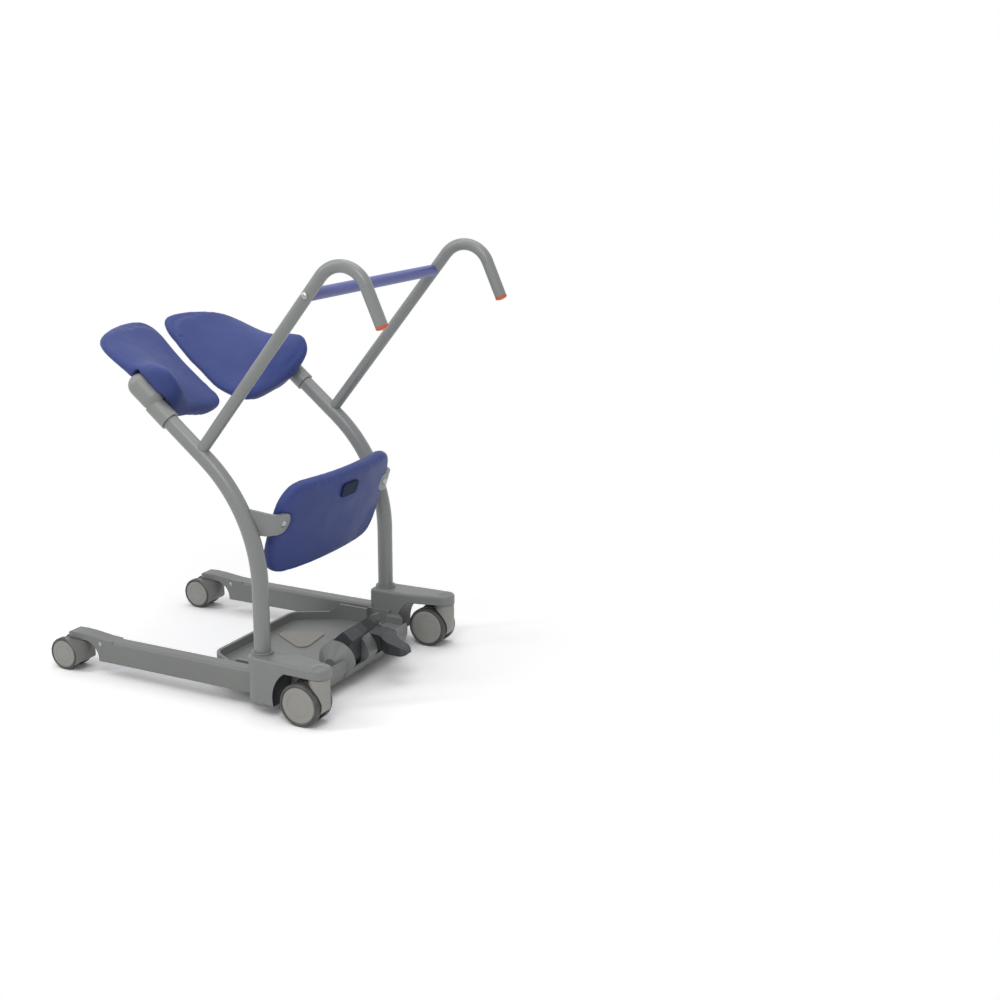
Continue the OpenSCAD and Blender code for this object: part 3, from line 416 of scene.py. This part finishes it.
def soft_pad(node, body):
    """A skinned foam pad that stands for its plain solid."""
    pad = bpy.data.objects.new("soft_" + node, nodes[node].data.copy())
    scene.collection.objects.link(pad)
    remesh(pad)
    swell(pad)
    fine = pad.modifiers.new("fine", "SUBSURF")
    fine.levels = 1
    fine.render_levels = 1
    bake(pad)
    for face in pad.data.polygons:
        face.use_smooth = True
    pad.data.materials.clear()
    pad.data.materials.append(pad_blue)
    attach(pad, body)
    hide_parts(node)


soft_pad("knee_pad", "frame")
for side in SIDES:
    soft_pad("seat_pad_" + side, "seat_" + side)


def seen(tree):
    """One for a ray from the camera or a mirror-like bounce, zero for light that falls on the object."""
    path = tree.nodes.new("ShaderNodeLightPath")
    value = path.outputs["Is Camera Ray"]
    for kind in ("Is Glossy Ray", "Is Transmission Ray"):
        larger = tree.nodes.new("ShaderNodeMath")
        larger.operation = "MAXIMUM"
        tree.links.new(value, larger.inputs[0])
        tree.links.new(path.outputs[kind], larger.inputs[1])
        value = larger.outputs[0]
    return value


# Metres from the middle of the floor to its edge, and to where its fade to white starts and ends.
FLOOR_HALF = 12.0
FADE_START, FADE_END = 0.5, 1.2
FLOOR_COLOUR = (0.95, 0.95, 0.95, 1.0)
FLOOR_PALER = (0.22, 0.22, 0.22, 1.0)
FLOOR_ROUGH = 0.9


def floor():
    """A wide pale floor that keeps the soft shadow and fades to plain white away from the object."""
    mesh = bpy.data.meshes.new("floor")
    half = FLOOR_HALF
    corners = [(-half, -half, 0.0), (half, -half, 0.0), (half, half, 0.0), (-half, half, 0.0)]
    mesh.from_pydata(corners, [], [(0, 1, 2, 3)])
    ground = bpy.data.objects.new("floor", mesh)
    scene.collection.objects.link(ground)
    s = Surface("floor")
    s.finish(FLOOR_COLOUR, FLOOR_ROUGH, Specular_IOR_Level=0.0)
    shown = seen(s.tree)
    paler = s.add("ShaderNodeBsdfDiffuse")
    s.link(s.mix(shown, BLACK, FLOOR_PALER), paler.inputs["Color"])
    near = s.add("ShaderNodeAddShader")
    s.link(s.body.outputs[0], near.inputs[0])
    s.link(paler.outputs[0], near.inputs[1])
    reach = s.add("ShaderNodeVectorMath", operation="LENGTH")
    s.link(s.place, reach.inputs[0])
    fade = s.add("ShaderNodeMapRange", interpolation_type="SMOOTHSTEP")
    fade.inputs["From Min"].default_value = FADE_START
    fade.inputs["From Max"].default_value = FADE_END
    s.link(reach.outputs["Value"], fade.inputs["Value"])
    plain = s.add("ShaderNodeEmission")
    choose = s.add("ShaderNodeMixShader")
    s.link(s.times(fade.outputs["Result"], shown), choose.inputs[0])
    s.link(near.outputs[0], choose.inputs[1])
    s.link(plain.outputs[0], choose.inputs[2])
    s.link(choose.outputs[0], s.out.inputs["Surface"])
    s.material.cycles.emission_sampling = "NONE"
    mesh.materials.append(s.material)


# Strength of the surround as light on the object, and as the backdrop that is seen.
AMBIENT, BACKDROP = 0.46, 1.0


def world():
    """An even surround that lights the object, seen as a white backdrop."""
    sky = bpy.data.worlds.new("studio")
    sky.use_nodes = True
    tree = sky.node_tree
    tree.nodes.clear()
    out = tree.nodes.new("ShaderNodeOutputWorld")
    choose = tree.nodes.new("ShaderNodeMixShader")
    tree.links.new(seen(tree), choose.inputs[0])
    for socket, strength in ((1, AMBIENT), (2, BACKDROP)):
        light = tree.nodes.new("ShaderNodeBackground")
        light.inputs["Color"].default_value = WHITE
        light.inputs["Strength"].default_value = strength
        tree.links.new(light.outputs[0], choose.inputs[socket])
    tree.links.new(choose.outputs[0], out.inputs["Surface"])
    scene.world = sky


# Name, place, the point it is turned to, width and height in metres, and watts.
LAMPS = (
    ("key", (1.2, -2.4, 3.2), (0.0, 0.0, 0.4), (1.6, 1.6), 38.0),
    ("strip", (-1.8, -1.6, 2.6), (0.0, 0.0, 0.5), (0.3, 2.4), 22.0),
    ("top", (0.0, 0.4, 3.4), (0.0, 0.0, 0.0), (2.4, 2.4), 33.0),
)


def softbox(name, place, target, size, watts):
    """A rectangular area light turned to a point."""
    lamp = bpy.data.lights.new(name, "AREA")
    lamp.shape = "RECTANGLE"
    lamp.size, lamp.size_y = size
    lamp.energy = watts
    box = bpy.data.objects.new(name, lamp)
    box.location = place
    box.rotation_euler = (Vector(target) - Vector(place)).to_track_quat("-Z", "Y").to_euler()
    scene.collection.objects.link(box)


# The photograph's viewpoint in metres, its directions, and the lens in millimetres.
EYE_PLACE = Vector((2.03289, -2.90071, 1.34193))
EYE_RIGHT = Vector((0.88701, 0.46176, 0.0))
EYE_DOWN = Vector((0.11824, -0.22704, -0.96668))
EYE_AHEAD = Vector((-0.44636, 0.85746, -0.25599))
SENSOR_WIDTH = 36.0
LENS_LENGTH = 54.433
LENS_SHIFT = 0.03


def camera():
    """The photograph's viewpoint, worked out from the object's own straight lines."""
    lens = bpy.data.cameras.new("camera")
    lens.sensor_width = SENSOR_WIDTH
    lens.lens = LENS_LENGTH
    lens.shift_x = LENS_SHIFT
    eye = bpy.data.objects.new("camera", lens)
    turn = Matrix((EYE_RIGHT, -EYE_DOWN, -EYE_AHEAD)).transposed().to_4x4()
    eye.matrix_world = Matrix.Translation(EYE_PLACE) @ turn
    scene.collection.objects.link(eye)
    scene.camera = eye


floor()
world()
for lamp_row in LAMPS:
    softbox(*lamp_row)
camera()
